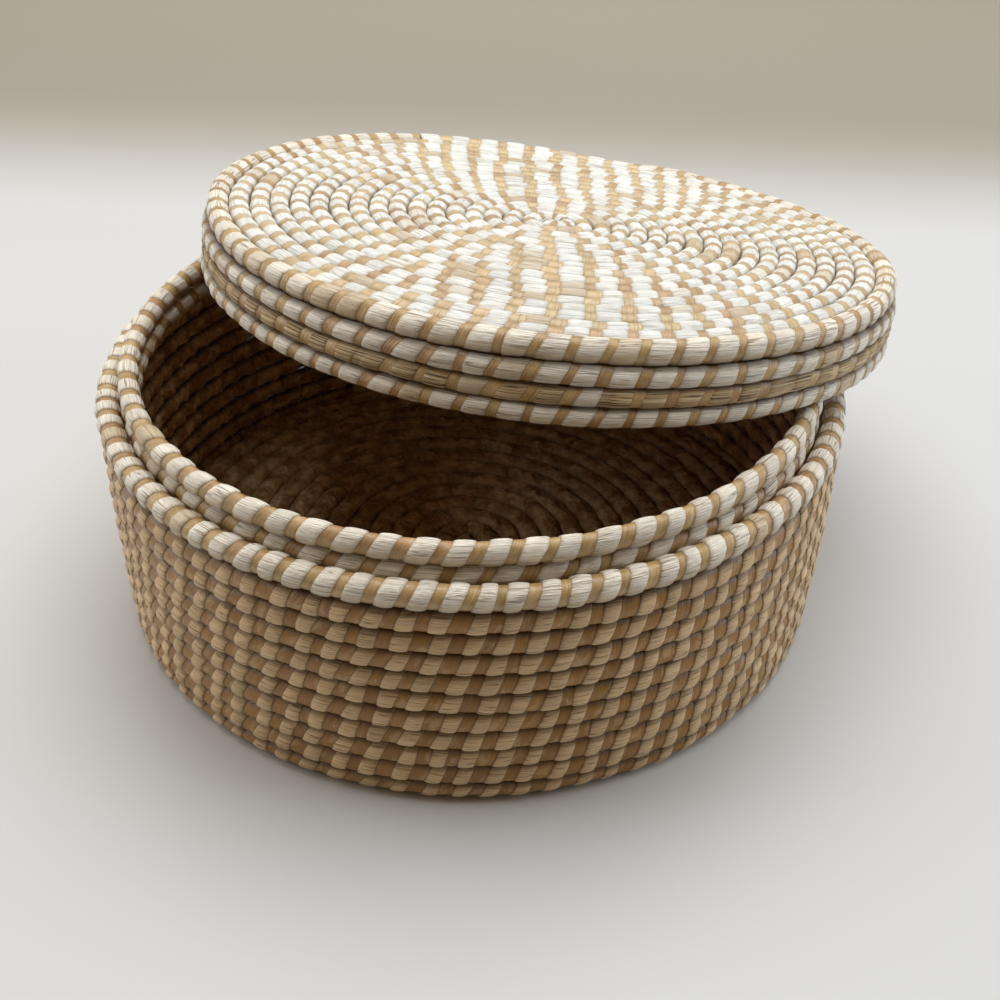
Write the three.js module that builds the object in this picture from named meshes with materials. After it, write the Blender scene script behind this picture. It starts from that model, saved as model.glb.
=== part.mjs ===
// A round box of coiled basketry with its lid lying aslant on the rim.
// Millimetres, +Z up, the front towards -Y, the middle of the underside at the origin.
//
// One long coil makes each half. In the base and in the lid's top it lies as a flat spiral,
// then it climbs onto itself and goes on as rows, one turn a row. Each row rises onto the
// next within a short stretch at the back, so the rows are level everywhere else. The last
// turn of each half thins to nothing against the coil that rises under it.

import * as THREE from 'three';

// How the coil is laid and stitched
const SEAM_GAP = 0.3; // from one row to the next
const STEPS_PER_TURN = 26;
const SEAM_ANGLE = THREE.MathUtils.degToRad(118); // where a row ends and the next begins
const THINNEST_SHARE = 0.8; // share of the rise at which a thinning end stops

// The box
const WALL_ROWS = 10;
const WALL_RADIUS = 145; // to the middle of the coil, as all radii here
const FOOT_DRAW_IN = 1.9; // of the lowest row, easing out towards the top row
const WALL_COIL_WIDTH = 9;
const WALL_ROW_PITCH = 9.05;
const BASE_ROUND_COUNT = 13;

// The thick row that the closed lid stands on
const LEDGE_PROUD = 0.3; // beyond the wall's outside
const LEDGE_COIL_WIDTH = 9.4;
const LEDGE_COIL_HEIGHT = 9.4;

// The collar inside the ledge, which the lid fits over
const COLLAR_COIL_WIDTH = 7.9;
const COLLAR_ROW_PITCH = 9;
const COLLAR_RISE = 2.6; // from the ledge's middle up to that of the first collar row

// The lid, from its top down
const LID_ROUND_COUNT = 16;
const LID_CLEARANCE = 0.4; // between the collar and the lid's skirt
const LID_RIM_INSET = 2.55; // of the rim coil from the skirt's radius
const LID_RIM_COIL_WIDTH = 8.6;
const LID_RIM_COIL_HEIGHT = 8.3;
const SKIRT_ROWS = 3;
const SKIRT_COIL_WIDTH = 7.1;
const SKIRT_ROW_PITCH = 7.46;
const LID_WARP = 2.1; // how far the lid's edge bends up and down, saddle-shaped
const LID_WARP_ANGLE = THREE.MathUtils.degToRad(153); // one of the two high sides

// How the lid lies on the box: slid towards the back right and tilted down there
const LID_SLIDE = 69.5;
const LID_SLIDE_ANGLE = THREE.MathUtils.degToRad(62.5);
const LID_TILT = THREE.MathUtils.degToRad(10.4);
const LID_TILT_ANGLE = THREE.MathUtils.degToRad(58.8);
const REST_GAP = 0.3; // between the lid and the rim that it lies on
const REST_SAMPLES = 720;

// Colours
const CREAM = '#d9c8a6';
const TAN = '#c9ae7d';
const STRAW = '#b79a6c';
const SHADED = '#a78d66';

// A coil's section is an octagon with flats on top, below and at its sides.
const SECTION_SIDES = 8;
const FLAT_SHARE = Math.tan(Math.PI / SECTION_SIDES); // half a flat over half the section
const CORNER_REACH = 1 / Math.cos(Math.PI / SECTION_SIDES); // a corner over half the section
const QUARTER_TURN = Math.PI / 2;
const RISE_STEPS = SECTION_SIDES / 2;

// A coil rises onto the next row in the last steps of its turn, half a side of the section a
// step: it rolls over the coil that steps out beneath it, face on face, so that the two keep
// their distance. The place on that quarter roll has a share climbed and a share stepped out.
function rollPlace(step) {
  const rolled = Math.max(0, step - STEPS_PER_TURN + RISE_STEPS);
  const angle = QUARTER_TURN * rolled / RISE_STEPS;
  const reach = mix(1, CORNER_REACH, rolled % 2);
  return { climb: reach * Math.sin(angle), stepOut: 1 - reach * Math.cos(angle) };
}

function turnAngle(step) {
  return SEAM_ANGLE + 2 * Math.PI * step / STEPS_PER_TURN;
}

function mix(from, to, share) {
  return from + (to - from) * share;
}

// One row of coil as plain numbers: its radius, its height and half its width and height.
function coilRow(radius, z, width, height) {
  return { radius, z, halfWidth: width / 2, halfHeight: height / 2 };
}

// A row on its way to the next one. It moves over to the next one's radius in its last step,
// when it is level with it, and so stays against the coil that steps out beside it.
function between(row, next, climb, isLast) {
  return {
    radius: isLast ? next.radius : row.radius,
    z: mix(row.z, next.z, climb),
    halfWidth: mix(row.halfWidth, next.halfWidth, climb),
    halfHeight: mix(row.halfHeight, next.halfHeight, climb),
  };
}

// The row's far side stays level while the coil that rises against it thins it from the
// other side. Side is 1 where the far side is the top and -1 where it is the bottom.
function thinned(row, side, climb) {
  const farZ = row.z + side * row.halfHeight;
  const halfHeight = mix(row.halfHeight, -SEAM_GAP / 2, climb);
  const halfWidth = mix(row.halfWidth, row.halfWidth / 2, climb);
  return { radius: row.radius, z: farZ - side * halfHeight, halfWidth, halfHeight };
}

// The eight corners of a row's section in the upright plane at an angle about the axis.
function sectionPoints(section, angle) {
  const points = [];
  for (let corner = 0; corner < SECTION_SIDES; corner += 1) {
    const turn = (corner + 1 / 2) * 2 * Math.PI / SECTION_SIDES;
    const radius = section.radius + section.halfWidth * CORNER_REACH * Math.cos(turn);
    const z = section.z + section.halfHeight * CORNER_REACH * Math.sin(turn);
    points.push(new THREE.Vector3(radius * Math.cos(angle), radius * Math.sin(angle), z));
  }
  return points;
}

function geometryOf(points, faces) {
  const geometry = new THREE.BufferGeometry().setFromPoints(points);
  geometry.setIndex(faces.flat());
  geometry.computeVertexNormals();
  return geometry;
}

// A closed tube through a list of sections, with flat ends.
function loft(sections) {
  const sides = sections[0].length;
  const points = sections.flat();
  const faces = [];
  for (let ring = 0; ring + 1 < sections.length; ring += 1) {
    for (let side = 0; side < sides; side += 1) {
      const a = ring * sides + side;
      const b = ring * sides + (side + 1) % sides;
      faces.push([a, a + sides, b + sides], [a, b + sides, b]);
    }
  }
  const last = (sections.length - 1) * sides;
  for (let side = 1; side + 1 < sides; side += 1) {
    faces.push([0, side, side + 1]);
    faces.push([last, last + side + 1, last + side]);
  }
  return geometryOf(points, faces);
}

// A turn of coil. It starts where the row before it ends, and its own end is where the next
// begins. A row without a next one thins out, and a row with startsThin grows out of nothing
// under its own rising end.
function rowGeometry(row, { next = null, side = 1, startsThin = false }) {
  const trim = SEAM_GAP / 2 / row.radius;
  const sections = [];
  if (startsThin) {
    for (let step = STEPS_PER_TURN - RISE_STEPS + 1; step < STEPS_PER_TURN; step += 1) {
      const share = 1 - rollPlace(step).climb;
      if (share < THINNEST_SHARE) {
        const angle = turnAngle(step - STEPS_PER_TURN);
        sections.push(sectionPoints(thinned(row, -side, share), angle));
      }
    }
  }
  for (let step = 0; step <= STEPS_PER_TURN; step += 1) {
    const climb = rollPlace(step).climb;
    const joinsNext = step === STEPS_PER_TURN;
    const joinsLast = step === 0 && !startsThin;
    const angle = turnAngle(step) + (joinsLast ? trim : 0) - (joinsNext ? trim : 0);
    if (next) {
      sections.push(sectionPoints(between(row, next, climb, joinsNext), angle));
    } else if (climb < THINNEST_SHARE) {
      sections.push(sectionPoints(thinned(row, side, climb), angle));
    }
  }
  return loft(sections);
}

// Where the seam between two rounds of a flat spiral lies. The inner rounds widen steadily;
// the outer ones come nearer and nearer to circles that step out within the rise.
function seamRadius(spiral, step) {
  const stepInTurn = step % STEPS_PER_TURN;
  const steady = step / STEPS_PER_TURN;
  const stepped = (step - stepInTurn) / STEPS_PER_TURN + rollPlace(stepInTurn).stepOut;
  const widening = mix(steady, stepped, Math.min(1, steady / spiral.rounds));
  return spiral.pitch * (widening + 1 / 2);
}

// A flat spiral of coil whose rounds are sewn together into one plate. A knot fills its
// middle. The ridges have a flat crest on top and meet the plane below along their middle.
function spiralGeometry(spiral) {
  const points = [];
  const faces = [];
  const lastStep = spiral.rounds * STEPS_PER_TURN;
  const groove = spiral.halfHeight * FLAT_SHARE;
  const trim = SEAM_GAP / 2 / seamRadius(spiral, lastStep);

  function addPoint(radius, angle, z) {
    points.push(new THREE.Vector3(radius * Math.cos(angle), radius * Math.sin(angle), z));
    return points.length - 1;
  }

  const seams = [];
  for (let step = 0; step <= lastStep + STEPS_PER_TURN; step += 1) {
    const radius = seamRadius(spiral, step);
    const isEnd = step === lastStep + STEPS_PER_TURN;
    const angle = turnAngle(step) - (isEnd ? trim : 0);
    const under = step <= STEPS_PER_TURN ? spiral.halfHeight : groove;
    seams.push({
      top: addPoint(radius, angle, spiral.z + groove),
      bottom: addPoint(radius, angle, spiral.z - under),
    });
  }

  const ridges = [];
  for (let step = 0; step <= lastStep; step += 1) {
    const inner = seamRadius(spiral, step);
    const outer = seamRadius(spiral, step + STEPS_PER_TURN);
    const middle = (inner + outer) / 2;
    const crest = (outer - inner) / 2 * FLAT_SHARE;
    const angle = turnAngle(step) - (step === lastStep ? trim : 0);
    ridges.push({
      inner: addPoint(middle - crest, angle, spiral.z + spiral.halfHeight),
      outer: addPoint(middle + crest, angle, spiral.z + spiral.halfHeight),
      bottom: addPoint(middle, angle, spiral.z - spiral.halfHeight),
    });
  }

  function addQuad(a, b, c, d) {
    faces.push([a, b, c], [a, c, d]);
  }

  for (let step = 0; step < lastStep; step += 1) {
    const [ridge, ridgeOn] = [ridges[step], ridges[step + 1]];
    const [seam, seamOn] = [seams[step], seams[step + 1]];
    const [outer, outerOn] = [seams[step + STEPS_PER_TURN], seams[step + STEPS_PER_TURN + 1]];
    addQuad(seam.top, ridge.inner, ridgeOn.inner, seamOn.top);
    addQuad(ridge.inner, ridge.outer, ridgeOn.outer, ridgeOn.inner);
    addQuad(ridge.outer, outer.top, outerOn.top, ridgeOn.outer);
    addQuad(seamOn.bottom, ridgeOn.bottom, ridge.bottom, seam.bottom);
    addQuad(ridgeOn.bottom, outerOn.bottom, outer.bottom, ridge.bottom);
  }

  // the knot: sunk to the seams on top, flush with the coil below
  const knotEnd = seams[STEPS_PER_TURN];
  const knotLast = seams[STEPS_PER_TURN - 1];
  for (let step = 1; step < STEPS_PER_TURN; step += 1) {
    faces.push([seams[0].top, seams[step].top, seams[step + 1].top]);
  }
  for (let step = 1; step < STEPS_PER_TURN - 1; step += 1) {
    faces.push([seams[0].bottom, seams[step + 1].bottom, seams[step].bottom]);
  }
  faces.push([knotLast.bottom, seams[0].bottom, ridges[0].bottom]);
  faces.push([knotLast.bottom, ridges[0].bottom, knotEnd.bottom]);

  // where the coil starts, above the knot
  addQuad(seams[0].top, knotEnd.top, ridges[0].outer, ridges[0].inner);

  // the outer edge and the end of the coil
  for (let step = lastStep; step < lastStep + STEPS_PER_TURN; step += 1) {
    const [seam, seamOn] = [seams[step], seams[step + 1]];
    addQuad(seam.bottom, seamOn.bottom, seamOn.top, seam.top);
  }
  const [first, end, outer] = [seams[lastStep], ridges[lastStep], seams[lastStep + STEPS_PER_TURN]];
  const rim = [first.top, end.inner, end.outer, outer.top, outer.bottom, end.bottom, first.bottom];
  for (let corner = 1; corner + 1 < rim.length; corner += 1) {
    faces.push([rim[0], rim[corner], rim[corner + 1]]);
  }
  return geometryOf(points, faces);
}

function spiralInside(row, rounds) {
  const edge = row.radius - row.halfWidth - SEAM_GAP;
  const pitch = edge / (rounds + 1 / 2);
  return { rounds, pitch, z: row.z, halfHeight: row.halfHeight };
}

function mesh(name, geometry, color) {
  const material = new THREE.MeshStandardMaterial({ color, roughness: 0.75, metalness: 0 });
  const result = new THREE.Mesh(geometry, material);
  result.name = name;
  return result;
}

function twoDigits(number) {
  return String(number).padStart(2, '0');
}

// The box: its rows from the floor up
const wallCoilHeight = WALL_ROW_PITCH - SEAM_GAP;
const wallRows = [];
for (let index = 0; index < WALL_ROWS; index += 1) {
  const z = wallCoilHeight / 2 + index * WALL_ROW_PITCH;
  const belowTopShare = 1 - index / (WALL_ROWS - 1);
  const radius = WALL_RADIUS - FOOT_DRAW_IN * belowTopShare * belowTopShare;
  wallRows.push(coilRow(radius, z, WALL_COIL_WIDTH, wallCoilHeight));
}
const topWallRow = wallRows[WALL_ROWS - 1];
const ledgeZ = topWallRow.z + topWallRow.halfHeight + SEAM_GAP + LEDGE_COIL_HEIGHT / 2;
const ledgeRadius = WALL_RADIUS + WALL_COIL_WIDTH / 2 + LEDGE_PROUD - LEDGE_COIL_WIDTH / 2;
const ledgeRow = coilRow(ledgeRadius, ledgeZ, LEDGE_COIL_WIDTH, LEDGE_COIL_HEIGHT);

const collarRadius = ledgeRadius - LEDGE_COIL_WIDTH / 2 - SEAM_GAP - COLLAR_COIL_WIDTH / 2;
const collarCoilHeight = COLLAR_ROW_PITCH - SEAM_GAP;
const collarZ = ledgeZ + COLLAR_RISE;
const collarRow = coilRow(collarRadius, collarZ, COLLAR_COIL_WIDTH, collarCoilHeight);
const collarRim = { ...collarRow, z: collarZ + COLLAR_ROW_PITCH };

function buildBox() {
  const box = new THREE.Group();
  box.add(mesh('base_coil', spiralGeometry(spiralInside(wallRows[0], BASE_ROUND_COUNT)), SHADED));
  wallRows.forEach((row, index) => {
    const next = wallRows[index + 1] ?? ledgeRow;
    const name = `wall_row_${twoDigits(index + 1)}`;
    box.add(mesh(name, rowGeometry(row, { next }), index % 2 ? CREAM : TAN));
  });
  box.add(mesh('ledge_row', rowGeometry(ledgeRow, {}), CREAM));
  box.add(mesh('collar_row', rowGeometry(collarRow, { next: collarRim, startsThin: true }), TAN));
  box.add(mesh('collar_rim_row', rowGeometry(collarRim, {}), CREAM));
  return box;
}

// The lid in its own frame: the middle of its top coil at the origin, its skirt hanging down
const collarOuterRadius = collarRadius + COLLAR_COIL_WIDTH / 2;
const skirtRadius = collarOuterRadius + LID_CLEARANCE + SKIRT_COIL_WIDTH / 2;
const skirtCoilHeight = SKIRT_ROW_PITCH - SEAM_GAP;
const lidRimRow = coilRow(skirtRadius - LID_RIM_INSET, 0, LID_RIM_COIL_WIDTH, LID_RIM_COIL_HEIGHT);
const skirtRows = [];
for (let index = 0; index < SKIRT_ROWS; index += 1) {
  const firstZ = -LID_RIM_COIL_HEIGHT / 2 - SEAM_GAP - skirtCoilHeight / 2;
  const z = firstZ - index * SKIRT_ROW_PITCH;
  skirtRows.push(coilRow(skirtRadius, z, SKIRT_COIL_WIDTH, skirtCoilHeight));
}

// The lid has warped a little, as hand-sewn ones do: two sides bend up and two down.
function warpAt(x, y) {
  const reach = Math.hypot(x, y) / lidRimRow.radius;
  return LID_WARP * reach * reach * Math.cos(2 * (Math.atan2(y, x) - LID_WARP_ANGLE));
}

function warped(geometry) {
  const position = geometry.attributes.position;
  for (let index = 0; index < position.count; index += 1) {
    const [x, y] = [position.getX(index), position.getY(index)];
    position.setZ(index, position.getZ(index) + warpAt(x, y));
  }
  geometry.computeVertexNormals();
  return geometry;
}

// How far a coil's section has fallen from its flat at a distance from the coil's middle
function fallAt(row, distance) {
  return row.halfHeight * Math.max(0, Math.abs(distance) / row.halfWidth - FLAT_SHARE);
}

// The lowest height at which the tilted lid clears the rim all round: either its underside
// or the lower edge of its skirt lies on the rim coil.
function restHeight(turn) {
  const rimTop = collarRim.z + collarRim.halfHeight + REST_GAP;
  const lastRow = skirtRows[SKIRT_ROWS - 1];
  const slide = new THREE.Vector2(LID_SLIDE, 0).rotateAround(new THREE.Vector2(), LID_SLIDE_ANGLE);
  let height = 0;

  function restOn(x, y, z) {
    const point = new THREE.Vector3(x, y, z + warpAt(x, y)).applyQuaternion(turn);
    const fromCoil = Math.hypot(point.x + slide.x, point.y + slide.y) - collarRim.radius;
    if (Math.abs(fromCoil) < collarRim.halfWidth) {
      height = Math.max(height, rimTop - fallAt(collarRim, fromCoil) - point.z);
    }
  }

  for (let sample = 0; sample < REST_SAMPLES; sample += 1) {
    const angle = 2 * Math.PI * sample / REST_SAMPLES;
    for (let share = 0; share < 1; share += 1 / STEPS_PER_TURN) {
      const inside = (skirtRadius - lastRow.halfWidth) * share;
      restOn(inside * Math.cos(angle), inside * Math.sin(angle), -lidRimRow.halfHeight);
      const fromRow = lastRow.halfWidth * (2 * share - 1);
      const edge = skirtRadius + fromRow;
      const edgeZ = lastRow.z - lastRow.halfHeight + fallAt(lastRow, fromRow);
      restOn(edge * Math.cos(angle), edge * Math.sin(angle), edgeZ);
    }
  }
  return { x: slide.x, y: slide.y, z: height };
}

function buildLid() {
  const lid = new THREE.Group();
  const top = spiralGeometry(spiralInside(lidRimRow, LID_ROUND_COUNT));
  lid.add(mesh('lid_top_coil', warped(top), CREAM));
  const rim = rowGeometry(lidRimRow, { next: skirtRows[0], side: -1 });
  lid.add(mesh('lid_rim_row', warped(rim), CREAM));
  skirtRows.forEach((row, index) => {
    const geometry = rowGeometry(row, { next: skirtRows[index + 1] ?? null, side: -1 });
    const color = index === 1 ? STRAW : TAN;
    lid.add(mesh(`lid_skirt_row_${index + 1}`, warped(geometry), color));
  });
  const across = LID_TILT_ANGLE + QUARTER_TURN;
  const tiltAxis = new THREE.Vector3(Math.cos(across), Math.sin(across), 0);
  lid.quaternion.setFromAxisAngle(tiltAxis, LID_TILT);
  const rest = restHeight(lid.quaternion);
  lid.position.set(rest.x, rest.y, rest.z);
  return lid;
}

const part = new THREE.Group();
part.add(buildBox(), buildLid());

export default part;
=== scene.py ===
"""A round box of coiled basketry, its lid lying aslant on the rim, on its solid model."""

import math

import bpy
import numpy as np
from mathutils import Matrix, Vector


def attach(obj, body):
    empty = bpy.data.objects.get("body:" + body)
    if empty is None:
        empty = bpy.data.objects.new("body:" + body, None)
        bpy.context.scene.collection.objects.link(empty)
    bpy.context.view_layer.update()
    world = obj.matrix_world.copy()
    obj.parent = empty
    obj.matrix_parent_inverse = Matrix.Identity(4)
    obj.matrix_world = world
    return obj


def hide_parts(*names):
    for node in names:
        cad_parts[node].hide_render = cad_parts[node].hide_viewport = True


bl_info = {
    "name": "Coiled basket box",
    "version": (1, 0, 0),
    "blender": (4, 5, 0),
    "location": "View3D > Sidebar > Basket",
    "description": "Builds a round coiled basket box, its tilted lid and a pale studio",
    "category": "Add Mesh",
}

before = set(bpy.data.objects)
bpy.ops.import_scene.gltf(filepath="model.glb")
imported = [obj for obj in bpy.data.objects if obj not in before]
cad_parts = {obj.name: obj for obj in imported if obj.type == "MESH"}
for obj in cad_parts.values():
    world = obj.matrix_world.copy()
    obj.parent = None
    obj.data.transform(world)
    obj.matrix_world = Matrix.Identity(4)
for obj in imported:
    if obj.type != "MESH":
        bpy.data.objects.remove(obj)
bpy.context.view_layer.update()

MM = 0.001

# The last part of a turn, in which a coil rises onto the next row. At even steps: how far it
# has climbed, how far a round of a spiral has stepped out, and how far a row has moved over.
RISE_START_SHARE = 1 - 4 / 26
RISE_STEP_SHARES = (0, 0.25, 0.5, 0.75, 1)
CLIMB_SHARES = (0, 0.414, 0.707, 1, 1)
STEP_OUT_SHARES = (0, 0, 0.293, 0.586, 1)
MOVE_OVER_SHARES = (0, 0, 0, 0, 1)
THINNEST_SHARE = 0.85
OVERLAP_SHARE = 0.003  # of a turn, by which a row starts inside the end of the one before
FULLER_RISE = 0.15  # by how much a coil is fuller there, which closes the gaps beside it
CRUMPLE = 0.7 * MM  # how far dents move the inner side of a coil

SIDES = 10  # of a coil's section
SQUARENESS = 2.3  # power of its superellipse: pressed on its neighbours, it is not quite round
STRIP_SPREAD = 0.22  # how far the strips' widths vary, as a share
LEAN_SPREAD = 0.06  # how far their lean varies
NUMBERS_A_COIL = 1000  # stitch numbers set aside for each coil, so no two look alike
SHEATHED_SHARE = 0.05  # of the bare row's stitches still have their sheath
UNBOUND_SHARE = 0.08  # of them have lost their strip

# The foot's edge is worn round and stands a little off the floor.
FOOT_LIFT = 0.4 * MM
FOOT_HEIGHT_SHARE = 0.93
FOOT_SQUARENESS = 1.9

# A coil laid by hand wavers.
WAVER_STEP = 20 * MM
WAVER_ACROSS = 0.3 * MM
WAVER_UP = 0.25 * MM

STEPS_A_TURN = 180  # points on a turn of a spiral
KNOT_TURN = 0.9  # how much of a turn is curled up in the spiral's middle
SIDE_GAIN = 0.1  # how many more of the added stitches come at the sides of a spiral
SIDE_SHIFT = 0.35  # how far the stitches there are shifted against the next round's


def linear(hex_colour):
    """An sRGB hex colour as linear red, green, blue and alpha."""
    shares = [int(hex_colour[at : at + 2], 16) / 255 for at in (1, 3, 5)]
    return [
        share / 12.92 if share <= 0.04045 else ((share + 0.055) / 1.055) ** 2.4
        for share in shares
    ] + [1.0]


def length(name, description, default):
    return bpy.props.FloatProperty(
        name=name, description=description, default=default, unit="LENGTH", precision=5
    )


def turn(name, description, degrees):
    return bpy.props.FloatProperty(
        name=name, description=description, default=math.radians(degrees), subtype="ANGLE"
    )


def share(name, description, default):
    return bpy.props.FloatProperty(
        name=name, description=description, default=default, min=0, max=1, subtype="FACTOR"
    )


def count(name, description, default):
    return bpy.props.IntProperty(name=name, description=description, default=default, min=1)


def colour(name, description, hex_colour):
    return bpy.props.FloatVectorProperty(
        name=name, description=description, default=linear(hex_colour), size=4, subtype="COLOR"
    )


class BoxSizes(bpy.types.PropertyGroup):
    """Sizes of the box"""

    wall_radius: length("Wall radius", "From the axis to the middle of a wall coil", 145 * MM)
    foot_draw_in: length("Foot draw-in", "How far the lowest row lies inside the top one", 1.9 * MM)
    wall_rows: count("Wall rows", "Rows of coil below the ledge", 10)
    row_pitch: length("Row pitch", "From one wall row to the next", 9.05 * MM)
    coil_width: length("Coil width", "Thickness of a wall coil through the wall", 9 * MM)
    ledge_radius: length("Ledge radius", "To the middle of the thick ledge row", 145.1 * MM)
    ledge_size: length("Ledge coil", "Thickness of the ledge row", 9.4 * MM)
    collar_radius: length("Collar radius", "To the middle of the collar's coils", 136.15 * MM)
    collar_width: length("Collar coil width", "Thickness of the collar through the wall", 7.9 * MM)
    collar_pitch: length("Collar pitch", "From the collar's first row to its rim", 9 * MM)
    collar_rise: length("Collar rise", "From the ledge's middle to the first collar row", 2.6 * MM)
    rounds: count("Base rounds", "Rounds of coil in the base", 13)
    seam_gap: length("Seam gap", "Between two rows in the solid model", 0.3 * MM)
    seam_angle: turn("Seam angle", "Where a row ends and the next begins", 118)


class LidSizes(bpy.types.PropertyGroup):
    """Sizes of the lid and how it lies on the box"""

    rim_radius: length("Rim radius", "To the middle of the lid's rim coil", 141.5 * MM)
    rim_width: length("Rim coil width", "Thickness of the rim coil across", 8.6 * MM)
    rim_height: length("Rim coil height", "Thickness of the rim coil upwards", 8.3 * MM)
    skirt_radius: length("Skirt radius", "To the middle of the skirt's coils", 144.05 * MM)
    skirt_rows: count("Skirt rows", "Rows of coil below the rim", 3)
    skirt_width: length("Skirt coil width", "Thickness of a skirt coil across", 7.1 * MM)
    skirt_pitch: length("Skirt pitch", "From one skirt row to the next", 7.46 * MM)
    rounds: count("Top rounds", "Rounds of coil in the lid's top", 16)
    warp: length("Warp", "How far the edge bends up and down", 2.1 * MM)
    warp_angle: turn("Warp angle", "One of the two high sides", 153)
    place: bpy.props.FloatVectorProperty(
        name="Place",
        description="Middle of the lid's top coil",
        default=(32.092 * MM, 61.647 * MM, 129.701 * MM),
        precision=5,
        subtype="TRANSLATION",
    )
    tilt: turn("Tilt", "How far the lid leans", 10.4)
    tilt_angle: turn("Tilt angle", "Which way the lid leans down", 58.8)


class StitchSizes(bpy.types.PropertyGroup):
    """How the coils are sewn"""

    wall_stitches: count("Wall stitches", "Stitches in a turn of the wall and the ledge", 82)
    collar_stitches: count("Collar stitches", "Stitches in a turn of the collar", 66)
    lid_stitches: count("Lid stitches", "Stitches in a turn of the lid's rim and skirt", 73)
    stitches_more: count("Stitches more", "Stitches that each round of a spiral adds", 4)
    row_drift: share("Row drift", "How far the stitches of a row run ahead of the row below", 0.17)
    wall_strip: share("Wall strip", "Share of a wall stitch that the strip covers", 0.45)
    ledge_strip: share("Ledge strip", "Share of a ledge or rim stitch under the strip", 0.35)
    lid_strip: share("Lid strip", "Share of a stitch of the lid's top under the strip", 0.34)
    skirt_strip: share("Skirt strip", "Share of a stitch of the lid's side under the strip", 0.29)
    bare_strip: share("Bare row's strip", "Share of a stitch of the bare row under it", 0.34)
    lean: share("Lean", "How far the top of a wall strip is ahead of its middle", 0.15)
    lid_lean: share("Lid lean", "How far the top of a lid strip is ahead of its middle", 0.12)
    top_lean: share("Top lean", "How far the strips on the lid's top lean", 0.06)
    unevenness: share("Unevenness", "How far the stitches vary in length", 0.09)
    overhang: share("Overhang", "How far a wall coil's lower half stands out over the next", 0.18)


class BasketColours(bpy.types.PropertyGroup):
    """Colours of the fibres and of the studio"""

    sheath: colour("Sheath", "Bleached leaf sheath on the lid's top", "#f9fcf8")
    rim_sheath: colour("Rim sheath", "Pale leaf sheath on the rims and the skirt", "#faf4e6")
    wall_sheath: colour("Wall sheath", "Duller leaf sheath on the wall", "#e8c99f")
    strip: colour("Strip", "Pale tan strip that the lid's top is sewn with", "#d6be92")
    rim_strip: colour("Rim strip", "Tan strip that the rims and the skirt are sewn with", "#c0a16b")
    wall_strip: colour("Wall strip", "Browner strip that the wall is sewn with", "#a3752c")
    # also painted as a straw-brown shade on the lower half of the rims and beside the strips
    straw: colour("Straw", "Bare stalks without sheath", "#c8b088")
    inner: colour("Inner side", "Brown inner side of the coil", "#eac79a")
    stained: colour("Stained inner side", "Darker stains on the inner side", "#b3885a")
    # painted shade: the dark brown laid into the seams between coils and at the edges of the strips
    seam: colour("Seam", "Shaded edge under a strip", "#3e2712")
    # painted shade at the bottom of the sheath's creases
    crease_shade: colour("Crease", "Bottom of the sheath's creases", "#a5896a")
    # painted shade in the sheath's thin splits
    split: colour("Split", "Thin splits in the sheath", "#6d5337")
    new_strip: colour("New strip", "Pinker strip that some stretches are sewn with", "#a97c5c")
    odd_strip: colour("Odd strip", "A few browner stitches", "#a0765a")
    fibre: colour("Fibre", "Dark fibres in a strip", "#7d5a30")
    stain: colour("Stain", "Stains on a strip", "#8f6a3a")
    bleached: colour("Bleached", "Bleached parts of a strip", "#dcc498")
    brown_stalk: colour("Brown stalk", "Darker stalks of the bare row", "#9a7c56")
    pale_stalk: colour("Pale stalk", "Paler stalks of the bare row", "#e2d3b2")
    # painted shade in the gaps between the bare stalks
    stalk_gap_shade: colour("Stalk gap", "Gaps between the bare stalks", "#38240f")
    floor: colour("Floor", "Pale surface", "#d2d4d4")
    backdrop: colour("Backdrop", "Plain backdrop behind the floor", "#9e988b")
    # painted light: the backdrop is painted lighter further away, making up for the lamps' light
    # falling off there
    far: colour("Far backdrop", "The backdrop further away, where less light falls", "#aea798")
    fill: colour("Fill", "Warm light that the room gives back", "#f6cb92")
    room: colour("Room", "The room seen straight or in a gloss, as the backdrop", "#b9b2a5")


def settings():
    scene = bpy.context.scene
    return scene.basket_box, scene.basket_lid, scene.basket_stitches, scene.basket_colours


# Materials


def add_node(tree, kind, inputs=None, **settings_of_node):
    """A node with its settings, its inputs set to values or linked to other nodes' outputs."""
    made = tree.nodes.new(kind)
    for key, value in settings_of_node.items():
        setattr(made, key, value)
    for key, value in (inputs or {}).items():
        if isinstance(value, bpy.types.NodeSocket):
            tree.links.new(value, made.inputs[key])
        else:
            made.inputs[key].default_value = value
    return made


def new_material(name, roughness, sheen=0.5):
    """A material, its node tree and its shader; sheen is how much it mirrors."""
    material = bpy.data.materials.new(name)
    material.use_nodes = True
    shader = material.node_tree.nodes["Principled BSDF"]
    shader.inputs["Roughness"].default_value = roughness
    shader.inputs["Specular IOR Level"].default_value = sheen
    return material, material.node_tree, shader


def coil_coordinates(tree):
    """Along the coil in stitches, round it as a share, and the number of the stitch."""
    uv = add_node(tree, "ShaderNodeUVMap", uv_map="coil")
    parts = add_node(tree, "ShaderNodeSeparateXYZ", {0: uv.outputs["UV"]})
    number = add_node(tree, "ShaderNodeMath", {0: parts.outputs["X"]}, operation="FLOOR")
    within = add_node(tree, "ShaderNodeMath", {0: parts.outputs["X"]}, operation="FRACT")
    return parts.outputs["X"], parts.outputs["Y"], number.outputs[0], within.outputs[0]


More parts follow.
